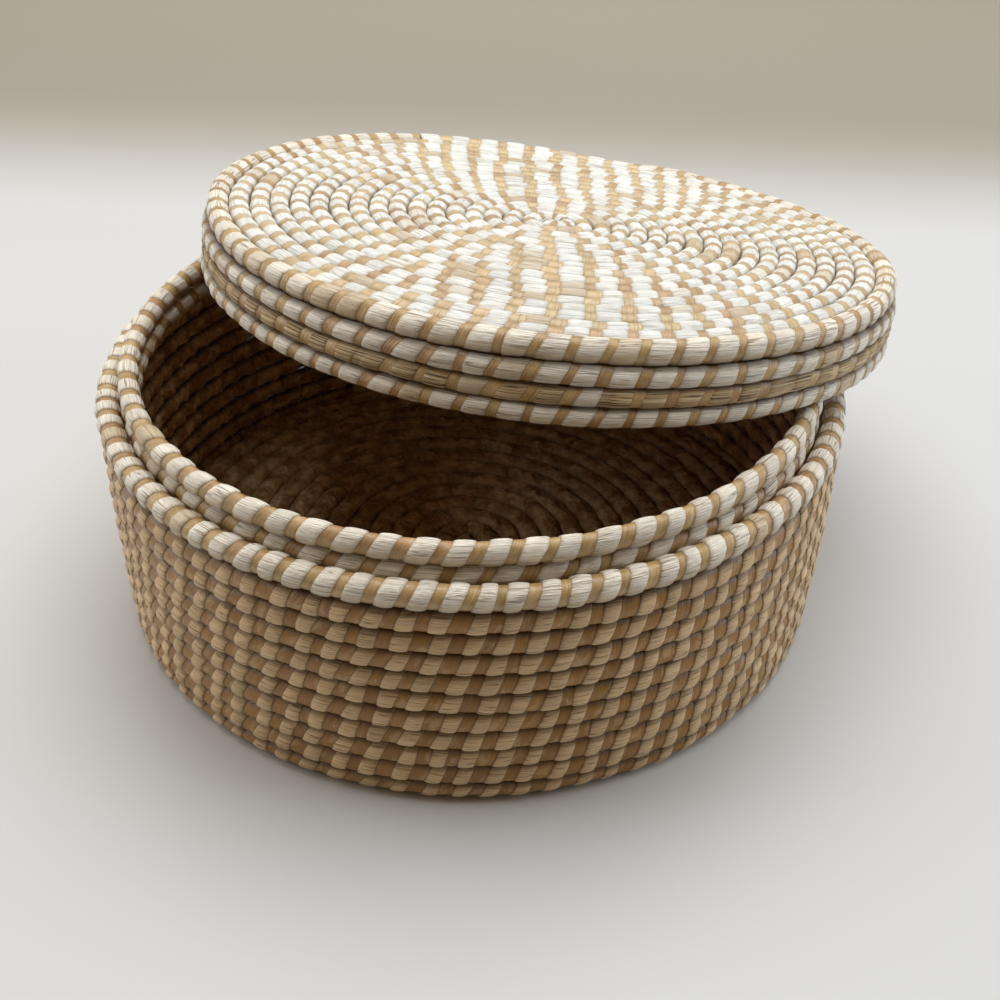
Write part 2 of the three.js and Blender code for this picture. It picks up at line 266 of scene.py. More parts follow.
def streaks(tree, along, around, along_scale, around_scale, detail=3):
    """Stretched noise on the coil's own coordinates."""
    x = add_node(tree, "ShaderNodeMath", {0: along, 1: along_scale}, operation="MULTIPLY")
    y = add_node(tree, "ShaderNodeMath", {0: around, 1: around_scale}, operation="MULTIPLY")
    vector = add_node(tree, "ShaderNodeCombineXYZ", {"X": x.outputs[0], "Y": y.outputs[0]})
    noise = add_node(
        tree,
        "ShaderNodeTexNoise",
        {"Vector": vector.outputs[0], "Scale": 1.0, "Detail": detail, "Roughness": 0.6},
        noise_dimensions="2D",
    )
    return noise.outputs[0]


def remap(tree, value, low, high, to_low=0.0, to_high=1.0):
    made = add_node(
        tree,
        "ShaderNodeMapRange",
        {"Value": value, "From Min": low, "From Max": high, "To Min": to_low, "To Max": to_high},
        interpolation_type="SMOOTHSTEP",
    )
    return made.outputs[0]


def blend(tree, amount, below, above, mode="MIX"):
    made = add_node(tree, "ShaderNodeMix", data_type="RGBA", blend_type=mode)
    for key, value in ((0, amount), (6, below), (7, above)):
        if isinstance(value, bpy.types.NodeSocket):
            tree.links.new(value, made.inputs[key])
        else:
            made.inputs[key].default_value = value
    return made.outputs[2]


def tinted(tree, base, number, seed, spread):
    """The base colour a little lighter or darker from stitch to stitch."""
    shifted = add_node(tree, "ShaderNodeMath", {0: number, 1: seed}, operation="ADD")
    noise = add_node(
        tree, "ShaderNodeTexWhiteNoise", {"W": shifted.outputs[0]}, noise_dimensions="1D"
    )
    value = add_node(
        tree,
        "ShaderNodeMapRange",
        {"Value": noise.outputs["Value"], "To Min": 1 - spread, "To Max": 1 + spread / 2},
    )
    toned = add_node(tree, "ShaderNodeHueSaturation", {"Value": value.outputs[0], "Color": base})
    return toned.outputs[0], noise.outputs["Value"]


def finish_fibre(tree, shader, around, tone, height, depth, seams):
    """Paints shade into the seams with the next coils and, on the rims, a straw-brown shade over
    the lower half; browns the inner side and adds the relief.
    """
    colours = bpy.context.scene.basket_colours
    angle = add_node(tree, "ShaderNodeMath", {0: around, 1: 0.5}, operation="SUBTRACT")
    angle = add_node(
        tree, "ShaderNodeMath", {0: angle.outputs[0], 1: 2 * math.pi}, operation="MULTIPLY"
    )
    # how far a spot faces outward or inward, or else upward
    kind = "COSINE" if seams == "beside" else "SINE"
    towards = add_node(tree, "ShaderNodeMath", {0: angle.outputs[0]}, operation=kind)
    towards = towards.outputs[0]
    if seams == "beside":
        towards = add_node(tree, "ShaderNodeMath", {0: towards}, operation="ABSOLUTE").outputs[0]
    # painted shade: darker where the coil lies against its neighbours, at its sides in a spiral and
    # at its top and bottom in a row; on the rims a straw-brown painted shade over the lower half as
    # well
    shades = {
        "beside": ((0.72, 1.0, 0.3, colours.seam),),
        "below": ((0.4, -0.4, 0.5, colours.straw), (-0.3, -1.0, 0.85, colours.seam)),
        "above and below": ((-0.75, -1.0, 0.8, colours.seam), (0.5, 1.0, 0.7, colours.seam)),
        "shingled": ((-0.6, -1.0, 0.85, colours.seam), (0.35, 1.0, 0.8, colours.seam)),
    }
    for low, high, amount, shade in shades[seams]:
        tone = blend(tree, remap(tree, towards, low, high, 0, amount), tone, shade)
    # the inner side is crumpled and stained, in patches about 10 mm across
    coordinates = add_node(tree, "ShaderNodeTexCoord")
    dents = add_node(
        tree,
        "ShaderNodeTexNoise",
        {"Vector": coordinates.outputs["Object"], "Scale": 110.0, "Detail": 5.0},
    )
    stained = blend(tree, remap(tree, dents.outputs[0], 0.4, 0.62), colours.stained, colours.inner)
    inner = add_node(tree, "ShaderNodeAttribute", attribute_name="inner_side")
    tone = blend(tree, inner.outputs["Fac"], tone, stained)
    tree.links.new(tone, shader.inputs["Base Color"])
    crumpled = add_node(
        tree,
        "ShaderNodeBump",
        {"Height": dents.outputs[0], "Strength": inner.outputs["Fac"], "Distance": 9 * MM},
    )
    bump = add_node(
        tree,
        "ShaderNodeBump",
        {"Height": height, "Strength": 1.0, "Distance": depth, "Normal": crumpled.outputs[0]},
    )
    tree.links.new(bump.outputs[0], shader.inputs["Normal"])


def fine_lines(tree, value, width, depth):
    """How dark thin lines along the middle level of a noise are, up to depth."""
    centred = add_node(tree, "ShaderNodeMath", {0: value, 1: 0.5}, operation="SUBTRACT")
    distance = add_node(tree, "ShaderNodeMath", {0: centred.outputs[0]}, operation="ABSOLUTE")
    return remap(tree, distance.outputs[0], 0, width, depth, 0)


def sheath_material(place, strip_share, fibre, seams, edge, lines):
    """Dried leaf sheath laid along the coil: cream with a faint sheen, creased lengthwise."""
    colours = bpy.context.scene.basket_colours
    material, tree, shader = new_material("dried_leaf_sheath_" + place, 0.44, 0.25)
    along, around, number, within = coil_coordinates(tree)
    # creases about 0.4 mm apart and a stitch long, on a coil 28 mm round
    creases = streaks(tree, along, around, 0.9, 62)
    folds = streaks(tree, along, around, 1.3, 13)
    # splits with painted shade in them, drawn 0.2 mm wide so that they show, and about a millimetre
    # apart
    splits = streaks(tree, along, around, 0.33, 27, detail=0.6)
    tone, chance = tinted(tree, fibre, number, 3.7, 0.12)
    tone = blend(tree, remap(tree, chance, 0.91, 0.97, 0, 0.75), tone, colours.straw)
    # painted shade in the creases
    tone = blend(tree, remap(tree, creases, 0.5, 0.72, 0, 0.25), tone, colours.crease_shade)
    # painted shade in the splits
    tone = blend(tree, fine_lines(tree, splits, 0.045, 0.7 * lines), tone, colours.split)
    tone = blend(tree, remap(tree, folds, 0.5, 0.75, 0, 0.3), tone, colours.straw)
    # painted shade: the sheath darkens towards the strips on both sides, straw-brown towards the
    # grooves and dark right at their edges
    for low, high, amount, shade in (
        (strip_share, strip_share + 0.14, 0.35, colours.straw),
        (strip_share + 0.005, strip_share + 0.04, edge, colours.seam),
        (1, 0.88, 0.35, colours.straw),
        (0.998, 0.975, edge, colours.seam),
    ):
        tone = blend(tree, remap(tree, within, low, high, amount, 0), tone, shade)
    height = add_node(
        tree, "ShaderNodeMath", {0: folds, 1: 1.6, 2: creases}, operation="MULTIPLY_ADD"
    )
    finish_fibre(tree, shader, around, tone, height.outputs[0], 0.5 * MM, seams)
    return material


def strip_material(place, strip_share, fibre, seams, edge, changes):
    """Split outer stalk wound round the coil: smooth, satin, tan with fine fibres across."""
    colours = bpy.context.scene.basket_colours
    material, tree, shader = new_material("split_stalk_strip_" + place, 0.31, 0.4)
    along, around, number, within = coil_coordinates(tree)
    # fibres about 0.5 mm apart on a stitch of 11 mm, running round the coil
    fibres = streaks(tree, along, around, 24, 1.2)
    stains = streaks(tree, along, around, 2.3, 3.1)
    tone, chance = tinted(tree, fibre, number, 11.3, 0.2)
    # the colour changes with each new strip, after about eight stitches
    lots = streaks(tree, number, around, 0.13, 0, detail=1)
    tone = blend(tree, remap(tree, lots, 0.5, 0.6, 0, changes), tone, colours.new_strip)
    tone = blend(tree, remap(tree, chance, 0.85, 0.95, 0, 0.35), tone, colours.odd_strip)
    tone = blend(tree, remap(tree, fibres, 0.5, 0.7, 0, 0.5), tone, colours.fibre)
    tone = blend(tree, remap(tree, stains, 0.5, 0.75, 0, 0.45), tone, colours.stain)
    tone = blend(tree, remap(tree, stains, 0.5, 0.3, 0, 0.35), tone, colours.bleached)
    # painted shade: the strip darkens at both edges, where it lies down in the grooves
    for low, high in ((strip_share, strip_share - 0.03), (0, 0.03)):
        tone = blend(tree, remap(tree, within, low, high, 0.7 * edge, 0), tone, colours.seam)
    shader.inputs["Coat Weight"].default_value = 0.25
    shader.inputs["Coat Roughness"].default_value = 0.3
    finish_fibre(tree, shader, around, tone, fibres, 0.3 * MM, seams)
    return material


def straw_material(place, seams):
    """Bare stalk bundle where the sheath is worn off: straw brown, stalk beside stalk."""
    colours = bpy.context.scene.basket_colours
    material, tree, shader = new_material("bare_stalk_bundle_" + place, 0.62, 0.25)
    along, around, number, within = coil_coordinates(tree)
    # stalks about 1 mm thick, on a coil 25 mm round, each several stitches long
    stalks = streaks(tree, along, around, 0.22, 24, detail=1)
    tone, _ = tinted(tree, colours.straw, number, 5.1, 0.12)
    tone = blend(tree, remap(tree, stalks, 0.5, 0.72, 0, 0.5), tone, colours.brown_stalk)
    tone = blend(tree, remap(tree, stalks, 0.48, 0.3, 0, 0.5), tone, colours.pale_stalk)
    # painted shade in the gaps between the stalks
    tone = blend(tree, fine_lines(tree, stalks, 0.06, 0.95), tone, colours.stalk_gap_shade)
    # painted shade at the end of each stitch, where the strip ties the stalks down
    tone = blend(tree, remap(tree, within, 0.998, 0.97, 0.5, 0), tone, colours.seam)
    finish_fibre(tree, shader, around, tone, stalks, 1.1 * MM, seams)
    return material


def fibre_materials(
    place, strip_share, sheath, strip, seams, edge=0.4, lines=1.0, changes=0.5
):
    """The three finishes of one kind of coil; seams are where it lies against the next ones, and
    where shade is painted.

    Edge, lines and changes are how much the painted shade at a strip's edges, the painted
    shade in the sheath's splits and the change from one strip to the next show."""
    return [
        sheath_material(place, strip_share, sheath, seams, edge, lines),
        strip_material(place, strip_share, strip, seams, edge, changes),
        straw_material(place, seams),
    ]


# A straight length of sewn coil


def select_only(obj):
    if bpy.context.object and bpy.context.object.mode != "OBJECT":
        bpy.ops.object.mode_set(mode="OBJECT")
    bpy.ops.object.select_all(action="DESELECT")
    obj.select_set(True)
    bpy.context.view_layer.objects.active = obj


def apply_modifiers(obj):
    select_only(obj)
    for modifier in list(obj.modifiers):
        bpy.ops.object.modifier_apply(modifier=modifier.name)


def stitch_profile(strip_share):
    """Places along one stitch, and how full the coil is there.

    It is 0 where the strip ties the coil tight, and 1 over the middle of the sheath, which
    comes up out of a groove on both sides of the strip."""
    rest = 1 - strip_share
    return (
        (0, 0),
        (strip_share * 0.5, 0.12),
        (strip_share, 0),
        (strip_share + 0.025, 0.5),
        (strip_share + 0.22 * rest, 0.87),
        (strip_share + 0.5 * rest, 1),
        (strip_share + 0.78 * rest, 0.87),
        (0.975, 0.5),
        (1, 0),
    )


def straight_stitch(sides, strip_share, lean, inner_side, tight, puffed):
    """One stitch of coil, 1 long and with a girth radius of about 1, made ring by ring.

    Tight and puffed are its girth across and upwards at the strip and between the strips."""
    profile = stitch_profile(strip_share)
    bpy.ops.object.select_all(action="DESELECT")
    bpy.ops.mesh.primitive_circle_add(
        vertices=sides,
        radius=1,
        fill_type="NOTHING",
        rotation=(0, math.pi / 2 + math.atan(lean), -math.atan(lean / 2)),
    )
    obj = bpy.context.object
    bpy.ops.object.transform_apply(location=False, rotation=True, scale=False)
    reach = [max(abs(vertex.co[axis]) for vertex in obj.data.vertices) for axis in (1, 2)]
    bpy.ops.object.mode_set(mode="EDIT")
    bpy.ops.mesh.select_all(action="SELECT")
    place, girth = 0, reach
    for next_place, fullness in profile:
        if next_place > 0:
            bpy.ops.mesh.extrude_region_move(
                TRANSFORM_OT_translate={"value": (next_place - place, 0, 0)}
            )
        wanted = [low + (high - low) * fullness for low, high in zip(tight, puffed)]
        bpy.ops.transform.resize(
            value=(1, wanted[0] / girth[0], wanted[1] / girth[1]),
            center_override=(next_place, 0, 0),
        )
        place, girth = next_place, wanted
    bpy.ops.object.mode_set(mode="OBJECT")

    mesh = obj.data
    uv = mesh.uv_layers.new(name="coil")
    hidden = mesh.attributes.new("inner_side", "FLOAT", "POINT")
    towards = Vector(inner_side)
    places = [profile[vertex.index // sides][0] for vertex in mesh.vertices]
    angles = [math.atan2(vertex.co.z, -vertex.co.y) for vertex in mesh.vertices]
    for edge in mesh.edges:
        edge.use_edge_sharp = all(places[index] in (0, strip_share, 1) for index in edge.vertices)
    for vertex in mesh.vertices:
        direction = Vector((0, vertex.co.y, vertex.co.z)).normalized()
        hidden.data[vertex.index].value = min(1, max(0, (direction.dot(towards) - 0.4) / 0.4))
    for polygon in mesh.polygons:
        highest = max(angles[index] for index in polygon.vertices)
        polygon.material_index = int(polygon.index < 2 * sides)
        for loop in polygon.loop_indices:
            index = mesh.loops[loop].vertex_index
            angle = angles[index]
            if highest - angle > math.pi:
                angle += 2 * math.pi
            uv.data[loop].uv = (places[index], 0.5 + angle / (2 * math.pi))
    return obj


def straight_coil(name, stitches, materials, **stitch):
    """A straight coil of unit stitches along X, closed at both ends."""
    obj = straight_stitch(**stitch)
    obj.name = obj.data.name = name
    for material in materials:
        obj.data.materials.append(material)
    row = obj.modifiers.new("row", "ARRAY")
    row.count = stitches
    row.use_relative_offset = False
    row.use_constant_offset = True
    row.constant_offset_displace = (1, 0, 0)
    row.use_merge_vertices = True
    row.merge_threshold = 0.001
    row.offset_u = 1
    apply_modifiers(obj)
    bpy.ops.object.mode_set(mode="EDIT")
    bpy.ops.mesh.select_all(action="DESELECT")
    bpy.ops.mesh.select_mode(type="VERT")
    bpy.ops.mesh.select_non_manifold(extend=False)
    bpy.ops.mesh.fill_holes(sides=0)
    bpy.ops.mesh.select_all(action="SELECT")
    bpy.ops.mesh.normals_make_consistent(inside=False)
    bpy.ops.object.mode_set(mode="OBJECT")
    bpy.ops.object.shade_smooth()
    return obj


def spread_stitches(
    obj, ends, half_width, half_height, seed, strip_share, swell=0.05, overhang=0, power=SQUARENESS
):
    """Puts the end of stitch k at the length ends[k] and gives the coil its real girth."""
    rng = np.random.default_rng(seed)
    mesh = obj.data
    points = np.empty(len(mesh.vertices) * 3)
    mesh.vertices.foreach_get("co", points)
    points = points.reshape(-1, 3)
    numbers = np.arange(len(ends))
    x = points[:, 0].copy()
    # some strips are wider than others
    number = np.clip(np.floor(x + 0.001).astype(int), 0, len(ends) - 2)
    within = np.clip(x - number, 0, 1)
    wider = STRIP_SPREAD * strip_share * rng.uniform(-1, 1, len(ends))
    x += wider[number] * np.minimum(within / strip_share, (1 - within) / (1 - strip_share))
    # and each strip leans a little differently
    edges = np.column_stack([numbers, numbers + strip_share]).ravel()
    leans = np.repeat(rng.uniform(-LEAN_SPREAD, LEAN_SPREAD, len(ends)), 2)
    off_the_ends = np.clip(x, 0, 1) * np.clip(numbers[-1] - x, 0, 1)
    x += points[:, 2] * np.interp(x, edges, leans) * off_the_ends
    girth = 1 + swell * rng.uniform(-1, 1, len(ends) + 1)
    fraction = np.clip(x, 0, len(ends) - 1)
    factor = np.interp(fraction, np.arange(len(girth)), girth)
    before = (ends[1] - ends[0]) * np.minimum(x, 0)
    after = (ends[-1] - ends[-2]) * np.maximum(x - numbers[-1], 0)
    points[:, 0] = np.interp(x, numbers, ends) + before + after
    # power 2 would be round
    slant = np.arctan2(points[:, 2], points[:, 1])
    fullness = (np.abs(np.cos(slant)) ** power + np.abs(np.sin(slant)) ** power) ** (-1 / power)
    points[:, 1] *= half_width * factor * fullness
    points[:, 2] *= half_height * (1 + (factor - 1) / 2) * fullness
    points[:, 1] += overhang * points[:, 2]
    # the inner side is crumpled
    inner = np.empty(len(points))
    mesh.attributes["inner_side"].data.foreach_get("value", inner)
    points[:, 1:] += CRUMPLE * inner[:, None] * rng.uniform(-1, 1, (len(points), 2))
    mesh.vertices.foreach_set("co", points.ravel())
    mesh.update()
    layer = mesh.uv_layers["coil"]
    uv = np.empty(len(layer.data) * 2)
    layer.data.foreach_get("uv", uv)
    uv[::2] += NUMBERS_A_COIL * (seed % 50)
    layer.data.foreach_set("uv", uv)


def lay_along(obj, path, girths):
    """Bends the straight coil along a path of points, with its girth there as a share."""
    curve = bpy.data.curves.new("path", "CURVE")
    curve.dimensions = "3D"
    curve.twist_mode = "Z_UP"
    curve.use_radius = True
    spline = curve.splines.new("POLY")
    spline.points.add(len(path) - 1)
    spline.points.foreach_set("co", np.column_stack([path, np.ones(len(path))]).ravel())
    spline.points.foreach_set("radius", girths)
    guide = bpy.data.objects.new("path", curve)
    bpy.context.scene.collection.objects.link(guide)
    bend = obj.modifiers.new("bend", "CURVE")
    bend.object = guide
    bend.deform_axis = "POS_X"
    bpy.context.view_layer.update()
    apply_modifiers(obj)
    bpy.data.objects.remove(guide)
    bpy.data.curves.remove(curve)


def length_along(path):
    steps = np.linalg.norm(np.diff(path, axis=0), axis=1)
    return np.concatenate([[0], np.cumsum(steps)])


def unsteady(path, seed):
    """The path with the slight waver of a coil laid by hand."""
    rng = np.random.default_rng(seed + 500)
    lengths = length_along(path)
    knots = np.arange(0, lengths[-1] + 2 * WAVER_STEP, WAVER_STEP)
    wavered = path.copy()
    outward = path[:, :2] / np.maximum(np.linalg.norm(path[:, :2], axis=1), MM)[:, None]
    across = rng.uniform(-WAVER_ACROSS, WAVER_ACROSS, len(knots))
    wavered[:, :2] += outward * np.interp(lengths, knots, across)[:, None]
    wavered[:, 2] += np.interp(lengths, knots, rng.uniform(-WAVER_UP, WAVER_UP, len(knots)))
    return wavered


def uneven(ends, amount, seed):
    """The stitches' ends, moved a little along the coil."""
    rng = np.random.default_rng(seed)
    moved = ends.copy()
    lengths = np.diff(ends)
    moved[1:-1] += amount * lengths[1:] * rng.uniform(-1, 1, len(ends) - 2)
    return moved


# Rows


def row(radius, z, width, height):
    return {"radius": radius, "z": z, "half_width": width / 2, "half_height": height / 2}


def rise_shares(turns, table):
    """What the table gives at places along a turn; 0 before the rise and 1 past the turn."""
    steps = (np.asarray(turns) - RISE_START_SHARE) / (1 - RISE_START_SHARE)
    return np.interp(steps, RISE_STEP_SHARES, table)


def row_path(this, following, begin, end, seam_angle, side=1, starts_thin=False):
    """Points along a row from one share of the turn to another, and its girth there.

    A row with no following one thins out against the coil that rises under it."""
    rise = 1 - RISE_START_SHARE
    begin = -rise if starts_thin else begin - OVERLAP_SHARE
    if following is None:
        end = 1
    turns = np.linspace(begin, end, 400)
    climb = rise_shares(turns, CLIMB_SHARES)
    radius = np.full_like(turns, this["radius"])
    z = np.full_like(turns, this["z"])
    if following is None:
        keep = climb < THINNEST_SHARE
        turns, climb, radius, z = (values[keep] for values in (turns, climb, radius, z))
        girth = 1 - climb
        z = z + side * this["half_height"] * climb
    else:
        over = rise_shares(turns, MOVE_OVER_SHARES)
        radius = radius + (following["radius"] - this["radius"]) * over
        z = z + (following["z"] - this["z"]) * climb
        girth = 1 + (following["half_width"] / this["half_width"] - 1) * climb
        risen = np.clip((turns - RISE_START_SHARE) / rise, 0, 1)
        girth += FULLER_RISE * np.sin(math.pi * risen)
    if starts_thin:
        grown = np.where(turns < 0, rise_shares(turns + 1, CLIMB_SHARES), 1)
        keep = grown > 1 - THINNEST_SHARE
        girth = girth * grown
        z = z - side * this["half_height"] * (1 - grown)
        turns, radius, z, girth = (values[keep] for values in (turns, radius, z, girth))
    angles = seam_angle + 2 * math.pi * turns
    return np.column_stack([radius * np.cos(angles), radius * np.sin(angles), z]), girth


def sewn_row(name, this, path, girths, stitches, strip_share, materials, seed, **look):
    """One row of coil along its path."""
    sizes = bpy.context.scene.basket_stitches
    total = length_along(path)[-1]
    ends = uneven(np.linspace(0, total, stitches + 1), sizes.unevenness, seed)
    obj = straight_coil(
        name,
        stitches,
        materials,
        sides=SIDES,
        strip_share=strip_share,
        lean=look.get("lean", sizes.lean),
        inner_side=look.get("inner_side", (0, 1, 0)),
        tight=look.get("tight", (0.88, 0.97)),
        puffed=look.get("puffed", (1.06, 1.06)),
    )
    spread_stitches(
        obj,
        ends,
        this["half_width"],
        this["half_height"],
        seed,
        strip_share,
        overhang=look.get("overhang", 0),
        power=look.get("power", SQUARENESS),
    )
    lay_along(obj, unsteady(path, seed), girths)
    return obj


def dress(obj, node, body):
    """The piece stands for its solid and moves with its body."""
    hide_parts(node)
    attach(obj, body)
    return obj


# Flat spirals


def spiral_seam(turns, rounds, pitch):
    """Radius of the seam inside the coil, as in the solid model."""
    whole = np.floor(turns)
    stepped = whole + rise_shares(turns - whole, STEP_OUT_SHARES)
    circular = np.clip(turns / rounds, 0, 1)
    return pitch * (turns + (stepped - turns) * circular + 0.5)


def spiral_path(rounds, pitch, z, seam_angle):
    """The coil's middle line from the knot to the end, with its width as a share of pitch."""
    turns = np.arange(-round(KNOT_TURN * STEPS_A_TURN), STEPS_A_TURN * rounds + 1) / STEPS_A_TURN
    later = np.maximum(turns, 0)
    inner = spiral_seam(later, rounds, pitch)
    outer = spiral_seam(later + 1, rounds, pitch)
    radius = np.where(turns < 0, pitch * (turns + 1), (inner + outer) / 2)
    girth = np.where(turns < 0, 1, (outer - inner) / pitch)
    girth += FULLER_RISE * np.clip(1 - (rounds - turns) / (1 - RISE_START_SHARE), 0, 1)
    angles = seam_angle + 2 * math.pi * turns
    heights = np.full_like(turns, z)
    points = np.column_stack([radius * np.cos(angles), radius * np.sin(angles), heights])
    return turns, points, girth


def spiral_stitches(turns, more, seam_angle):
    """How many stitches lie before each place of the spiral.

    At the front and the back they line up with those of the next round as spokes; at the
    sides they are shifted and lie like scales."""
    from_front = turns + (seam_angle + math.pi / 2) / (2 * math.pi)
    swing = SIDE_GAIN / (4 * math.pi) * np.sin(4 * math.pi * from_front)
    gained = more * (from_front - swing)
    a_round = gained + more
    stitches = np.empty_like(turns)
    first = int(np.searchsorted(turns, 0)) + STEPS_A_TURN
    stitches[:first] = a_round[first - STEPS_A_TURN] * (turns[:first] - turns[0])
    for at in range(first, len(turns)):
        stitches[at] = stitches[at - STEPS_A_TURN] + a_round[at - STEPS_A_TURN]
    sideways = np.sin(2 * math.pi * from_front) ** 2
    return stitches + SIDE_SHIFT * sideways * np.cos(math.pi * from_front) * (turns > 1)


def sewn_spiral(
    name, rounds, edge, z, half_height, materials, strip_share, seed, inner_side, bend=None
):
    """A flat spiral of coil."""
    box, _, sizes, _ = settings()
    pitch = edge / (rounds + 0.5)
    turns, path, girths = spiral_path(rounds, pitch, z, box.seam_angle)
    if bend is not None:
        path = bend(path)
    before = spiral_stitches(turns, sizes.stitches_more, box.seam_angle)
    lengths = length_along(path)
    stitches = int(before[-1])
    ends = np.interp(np.arange(stitches + 1), before, lengths)
    ends[-1] = lengths[-1]
    ends = uneven(ends, sizes.unevenness, seed)
    obj = straight_coil(
        name,
        stitches,
        materials,
        sides=SIDES,
        strip_share=strip_share,
        lean=sizes.top_lean,
        inner_side=inner_side,
        tight=(1.01, 0.93),
        puffed=(1.04, 1.03),
    )
    spread_stitches(obj, ends, pitch / 2, half_height, seed, strip_share)
    lay_along(obj, unsteady(path, seed), girths)
    return obj


# The pieces


def wall_row_sizes(box):
    rows = []
    height = box.row_pitch - box.seam_gap
    for index in range(box.wall_rows):
        below_top = 1 - index / (box.wall_rows - 1)
        radius = box.wall_radius - box.foot_draw_in * below_top**2
        rows.append(row(radius, height / 2 + index * box.row_pitch, box.coil_width, height))
    return rows


def ledge_size(box):
    top = wall_row_sizes(box)[-1]
    z = top["z"] + top["half_height"] + box.seam_gap + box.ledge_size / 2
    return row(box.ledge_radius, z, box.ledge_size, box.ledge_size)


def lid_row_sizes(lid, gap):
    rim = row(lid.rim_radius, 0, lid.rim_width, lid.rim_height)
    height = lid.skirt_pitch - gap
    first = -lid.rim_height / 2 - gap - height / 2
    rows = [rim]
    for index in range(lid.skirt_rows):
        rows.append(row(lid.skirt_radius, first - index * lid.skirt_pitch, lid.skirt_width, height))
    return rows


def warped(path, lid):
    """The path bent to the lid's slight saddle shape."""
    reach = np.hypot(path[:, 0], path[:, 1]) / lid.rim_radius
    angle = np.arctan2(path[:, 1], path[:, 0])
    bent = path.copy()
    bent[:, 2] += lid.warp * reach**2 * np.cos(2 * (angle - lid.warp_angle))
    return bent


def put_lid_in_place(obj, lid):
    """Tilts a piece of the lid and puts it where it lies, with its place in its mesh."""
    across = lid.tilt_angle + math.pi / 2
    tilt = Matrix.Rotation(lid.tilt, 4, Vector((math.cos(across), math.sin(across), 0)))
    obj.matrix_world = Matrix.Translation(lid.place) @ tilt
    select_only(obj)
    bpy.ops.object.transform_apply(location=True, rotation=True, scale=True)


class BASKET_OT_base(bpy.types.Operator):
    """Flat spiral of coil under the box, brown on its inner side"""

    bl_idname = "basket.base"
    bl_label = "Base coil"

    def execute(self, context):
        box, _, sizes, colours = settings()
        first = wall_row_sizes(box)[0]
        fibres = (colours.wall_sheath, colours.wall_strip)
        obj = sewn_spiral(
            "base_coil_sewn",
            box.rounds,
            first["radius"] - first["half_width"] - box.seam_gap,
            first["z"],
            first["half_height"],
            fibre_materials("base", sizes.wall_strip, *fibres, "beside"),
            sizes.wall_strip,
            1,
            (0, 0, 1),
        )
        dress(obj, "base_coil", "tub")
        return {"FINISHED"}


class BASKET_OT_wall(bpy.types.Operator):
    """Wall rows, each rising onto the next at the back"""

    bl_idname = "basket.wall"
    bl_label = "Wall rows"

    def execute(self, context):
        box, _, sizes, colours = settings()
        rows = wall_row_sizes(box)
        fibres = (colours.wall_sheath, colours.wall_strip)
        materials = fibre_materials(
            "wall", sizes.wall_strip, *fibres, "shingled", edge=0.6, changes=0.2
        )
        drift = sizes.row_drift / sizes.wall_stitches
        for index, this in enumerate(rows):
            following = rows[index + 1] if index + 1 < len(rows) else ledge_size(box)
            path, girths = row_path(
                this, following, index * drift, 1 + (index + 1) * drift, box.seam_angle
            )
            look = {"overhang": sizes.overhang}
            if index == 0:
                path[:, 2] += FOOT_LIFT
                this = dict(this, half_height=FOOT_HEIGHT_SHARE * this["half_height"])
                look = {"overhang": -sizes.overhang, "power": FOOT_SQUARENESS}
            name = f"wall_row_{index + 1:02d}"
            obj = sewn_row(
                name + "_sewn",
                this,
                path,
                girths,
                sizes.wall_stitches,
                sizes.wall_strip,
                materials,
                2 + index,
                **look,
            )
            dress(obj, name, "tub")
        return {"FINISHED"}


class BASKET_OT_rim(bpy.types.Operator):
    """Thick ledge row, and the collar inside it that the lid fits over"""

    bl_idname = "basket.rim"
    bl_label = "Ledge and collar"

    def execute(self, context):
        box, _, sizes, colours = settings()
        materials = fibre_materials(
            "rim", sizes.ledge_strip, colours.rim_sheath, colours.rim_strip, "below"
        )
        ledge = ledge_size(box)
        height = box.collar_pitch - box.seam_gap
        collar = row(box.collar_radius, ledge["z"] + box.collar_rise, box.collar_width, height)
        collar_rim = dict(collar, z=collar["z"] + box.collar_pitch)
        drift = box.wall_rows * sizes.row_drift / sizes.wall_stitches
        pieces = (
            ("ledge_row", ledge, None, drift, sizes.wall_stitches, "cream_coil", False),
            ("collar_row", collar, collar_rim, 0, sizes.collar_stitches + 8, "tan_coil", True),
            ("collar_rim_row", collar_rim, None, 0, sizes.collar_stitches, "cream_coil", False),
        )
        for number, (name, this, following, begin, stitches, slot, thin) in enumerate(pieces):
            path, girths = row_path(this, following, begin, 1, box.seam_angle, starts_thin=thin)
            obj = sewn_row(
                name + "_sewn",
                this,
                path,
                girths,
                stitches,
                sizes.ledge_strip,
                materials,
                20 + number,
                inner_side=(0, 0.5, -0.4),
                tight=(0.87, 0.9),
            )
            dress(obj, name, "tub")
        return {"FINISHED"}


class BASKET_OT_lid_top(bpy.types.Operator):
    """Flat spiral of coil on the lid, its stitches in spokes at the front and the back"""

    bl_idname = "basket.lid_top"
    bl_label = "Lid top"

    def execute(self, context):
        box, lid, sizes, colours = settings()
        fibres = (colours.sheath, colours.strip)
        obj = sewn_spiral(
            "lid_top_coil_sewn",
            lid.rounds,
            lid.rim_radius - lid.rim_width / 2 - box.seam_gap,
            0,
            lid.rim_height / 2,
            fibre_materials("top", sizes.lid_strip, *fibres, "beside", edge=0.3, lines=0.5),
            sizes.lid_strip,
            31,
            (0, 0, -1),
            bend=lambda path: warped(path, lid),
        )
        put_lid_in_place(obj, lid)
        dress(obj, "lid_top_coil", "lid")
        return {"FINISHED"}


